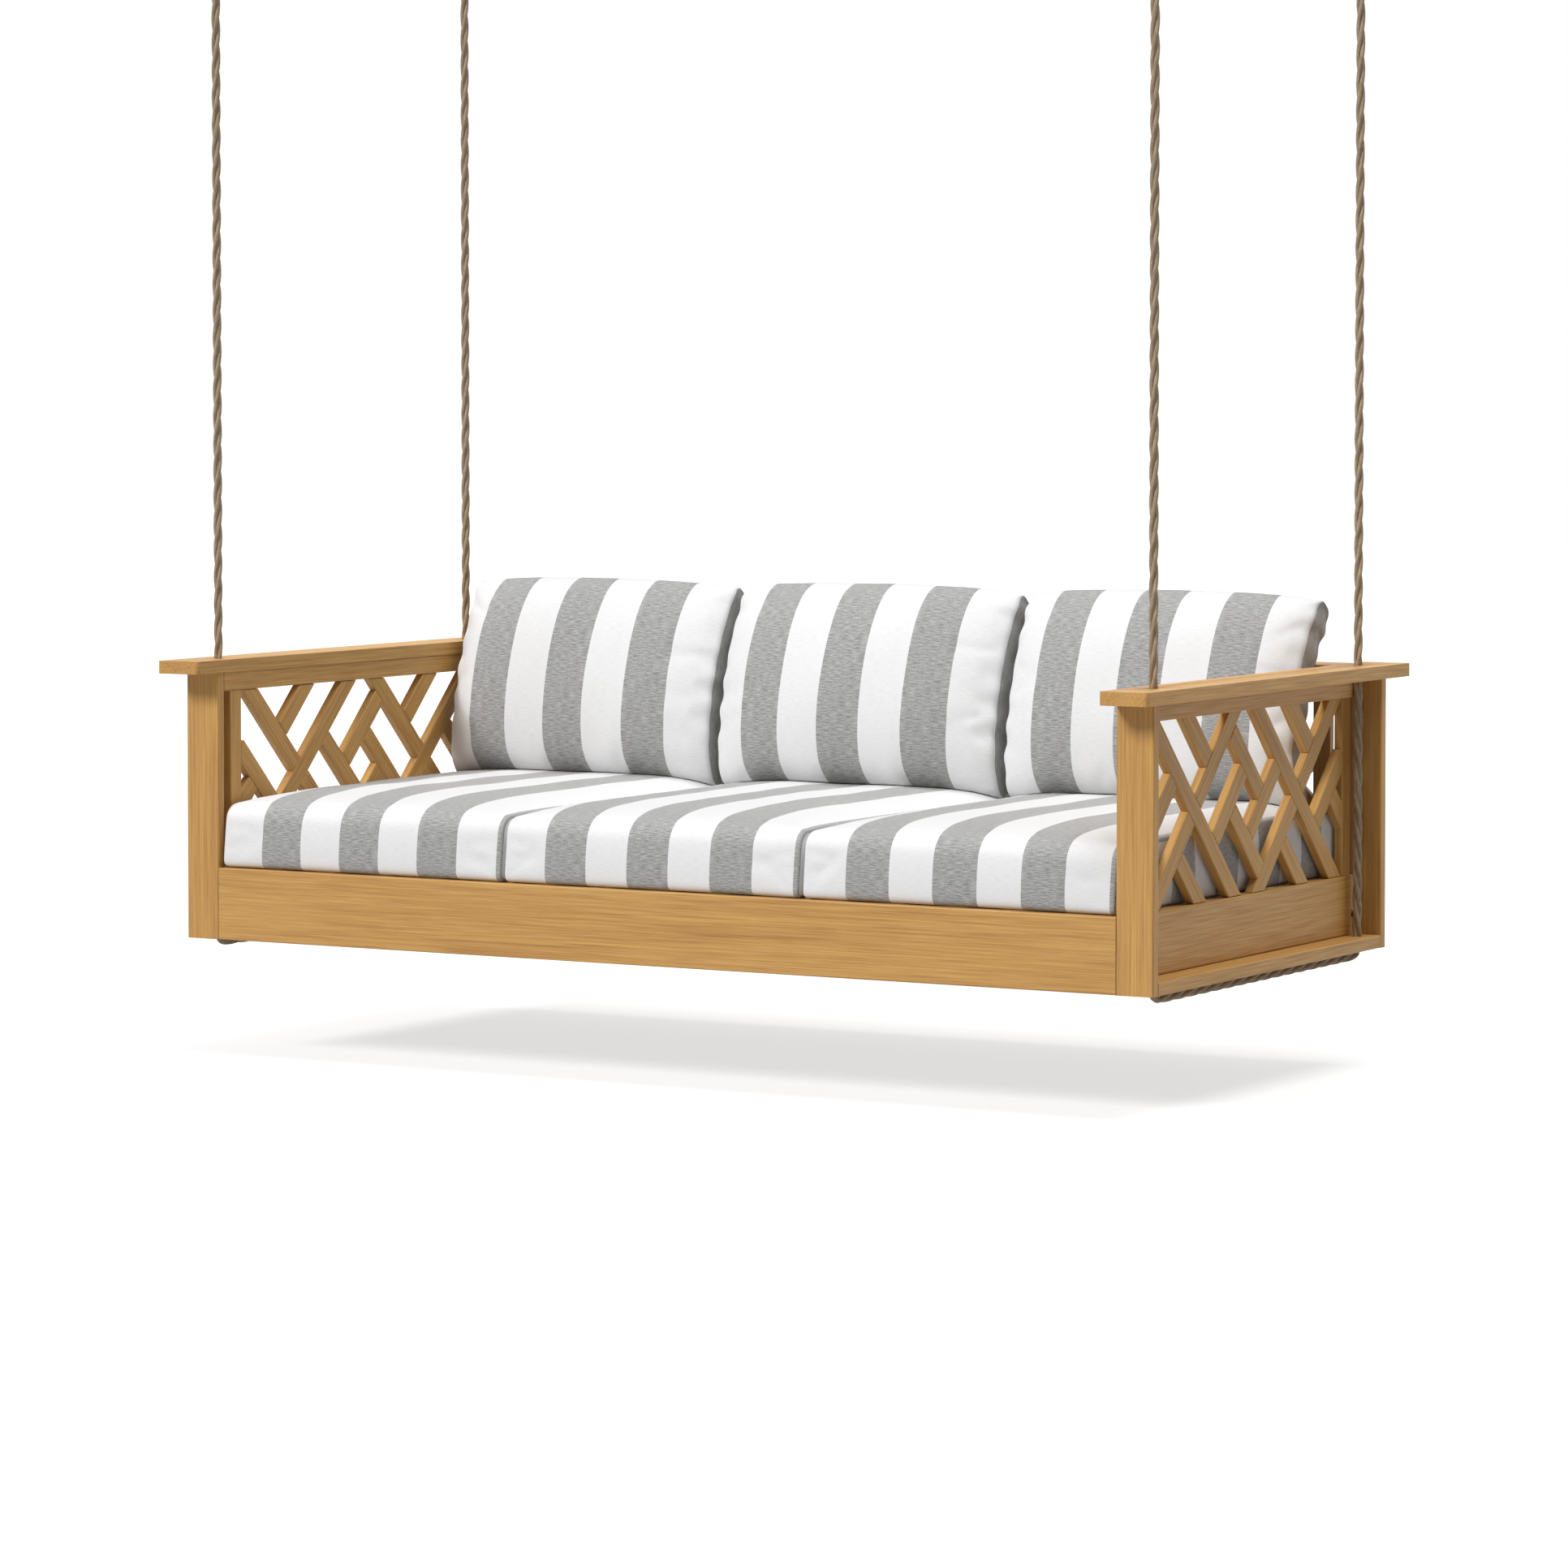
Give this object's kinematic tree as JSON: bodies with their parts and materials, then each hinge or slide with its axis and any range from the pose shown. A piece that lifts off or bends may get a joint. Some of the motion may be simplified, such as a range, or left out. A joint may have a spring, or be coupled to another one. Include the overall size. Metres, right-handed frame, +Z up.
{
  "type": "hanging swing bed",
  "caption": "Hanging swing bed: a boarded frame with diagonal lattice arms and back, seat and back cushions, hung from the ceiling by rope at its corners.",
  "frame": {"origin": "middle of the four screw eyes, on the plane of the ceiling that they are screwed into", "axes": "+X to the right seen from the front, +Y from the front to the back, +Z up"},
  "size_m": [2.144, 1.144, 2.1923],
  "materials": {
    "frame_wood": "oiled",
    "base_wood": "oiled",
    "rope": "laid, three strands",
    "hardware": "galvanised",
    "dark_steel": "black",
    "cushion_cloth": "woven, grey and white stripes"
  },
  "bodies": {
    "ceiling": {"ceiling_eyes": "hardware"},
    "left_links": {"links_left": "hardware"},
    "right_links": {"links_right": "hardware"},
    "rope_front_left": {"rope_front_left": "rope", "splice_front_left": "rope", "thimble_front_left": "hardware"},
    "rope_back_left": {"rope_back_left": "rope", "splice_back_left": "rope", "thimble_back_left": "hardware"},
    "rope_front_right": {"rope_front_right": "rope", "splice_front_right": "rope", "thimble_front_right": "hardware"},
    "rope_back_right": {"rope_back_right": "rope", "splice_back_right": "rope", "thimble_back_right": "hardware"},
    "flex_front_left": {"rope_bend_front_left": "rope"},
    "bed": {"rope_bends": "rope", "rope_run_left": "rope", "rope_run_right": "rope", "post_front_left": "frame_wood", "post_front_right": "frame_wood", "post_back_left": "frame_wood", "post_back_right": "frame_wood", "rail_front": "frame_wood", "rail_back": "frame_wood", "side_rail_left": "frame_wood", "side_rail_right": "frame_wood", "ledge_left": "frame_wood", "ledge_right": "frame_wood", "armrest_left": "frame_wood", "armrest_right": "frame_wood", "back_cap": "frame_wood", "arm_rail_left": "frame_wood", "arm_rail_right": "frame_wood", "back_top_rail": "frame_wood", "arm_stiles_left": "frame_wood", "arm_stiles_right": "frame_wood", "back_stiles": "frame_wood", "back_mullion": "frame_wood", "lattice_left": "frame_wood", "lattice_right": "frame_wood", "lattice_back_left": "frame_wood", "lattice_back_right": "frame_wood", "seat_slats": "base_wood", "slat_ledgers": "base_wood", "seat_beam": "base_wood", "corner_blocks": "base_wood", "corner_cleats": "base_wood", "corner_bolts": "dark_steel", "cleat_screws": "dark_steel", "slat_screws": "dark_steel", "seat_cushion_left": "cushion_cloth", "seat_cushion_middle": "cushion_cloth", "seat_cushion_right": "cushion_cloth", "back_cushion_left": "cushion_cloth", "back_cushion_middle": "cushion_cloth", "back_cushion_right": "cushion_cloth"}
  },
  "joints": [
    {"name": "sway", "type": "hinge", "parent": "ceiling", "child": "left_links", "pos_m": [-1.0194, -0.442, -0.0425], "axis": [0, 1, 0], "range_deg": [-10, 10]},
    {"name": "sway_right", "type": "hinge", "parent": "ceiling", "child": "right_links", "pos_m": [1.0194, -0.442, -0.0425], "axis": [0, 1, 0], "range_deg": [-10, 10]},
    {"name": "swing", "type": "hinge", "parent": "left_links", "child": "rope_front_left", "pos_m": [-1.0194, -0.442, -0.0845], "axis": [1, 0, 0], "range_deg": [-20, 20]},
    {"name": "swing_back_left", "type": "hinge", "parent": "left_links", "child": "rope_back_left", "pos_m": [-1.0194, 0.442, -0.0845], "axis": [1, 0, 0], "range_deg": [-20, 20]},
    {"name": "swing_front_right", "type": "hinge", "parent": "right_links", "child": "rope_front_right", "pos_m": [1.0194, -0.442, -0.0845], "axis": [1, 0, 0], "range_deg": [-20, 20]},
    {"name": "swing_back_right", "type": "hinge", "parent": "right_links", "child": "rope_back_right", "pos_m": [1.0194, 0.442, -0.0845], "axis": [1, 0, 0], "range_deg": [-20, 20]},
    {"name": "bend_swing", "type": "hinge", "parent": "rope_front_left", "child": "flex_front_left", "pos_m": [-1.0194, -0.442, -1.5616], "axis": [1, 0, 0], "range_deg": [-20, 20]},
    {"name": "bend_sway", "type": "hinge", "parent": "flex_front_left", "child": "bed", "pos_m": [-1.0194, -0.442, -1.5616], "axis": [0, 1, 0], "range_deg": [-10, 10]}
  ],
  "couplings": [
    {"joint": "sway_right", "follows": "sway", "ratio": 1},
    {"joint": "bend_sway", "follows": "sway", "ratio": -1},
    {"joint": "swing_back_left", "follows": "swing", "ratio": 1},
    {"joint": "swing_front_right", "follows": "swing", "ratio": 1},
    {"joint": "swing_back_right", "follows": "swing", "ratio": 1},
    {"joint": "bend_swing", "follows": "swing", "ratio": -1}
  ]
}
